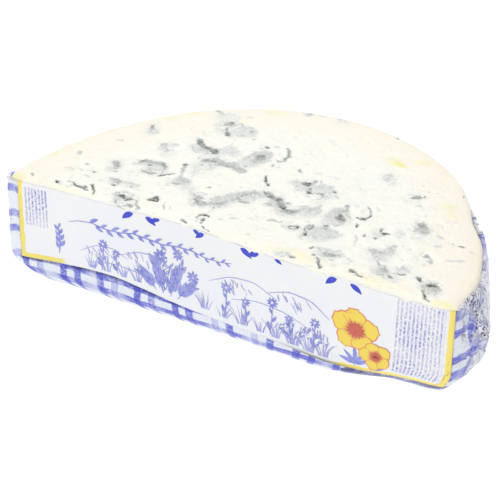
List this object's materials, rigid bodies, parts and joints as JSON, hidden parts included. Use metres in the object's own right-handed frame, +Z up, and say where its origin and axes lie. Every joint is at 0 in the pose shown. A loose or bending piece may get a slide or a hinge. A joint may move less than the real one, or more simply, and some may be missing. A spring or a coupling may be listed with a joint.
{
  "type": "half wheel of blue cheese in printed foil",
  "caption": "Half wheel of blue-veined cheese with its marbled cut face up, wrapped round base, rim and front in checked foil with a printed front panel.",
  "frame": {"origin": "centre of the base, on the surface that the cheese stands on", "axes": "+X along the straight cut front, to the right seen from the front; +Y from the straight front towards the round rim; +Z up"},
  "size_m": [0.2077, 0.1168, 0.051],
  "materials": {
    "cheese": "soft moist cream paste with grey-green veins and small hollows",
    "wrapper": "thin crinkled foil, satin, printed with a blue and white check",
    "label": "smooth coated panel, pale lavender with a yellow frame and blue line drawing"
  },
  "bodies": {
    "root": {"cheese": "cheese", "wrapper": "wrapper", "label": "label"}
  },
  "joints": []
}
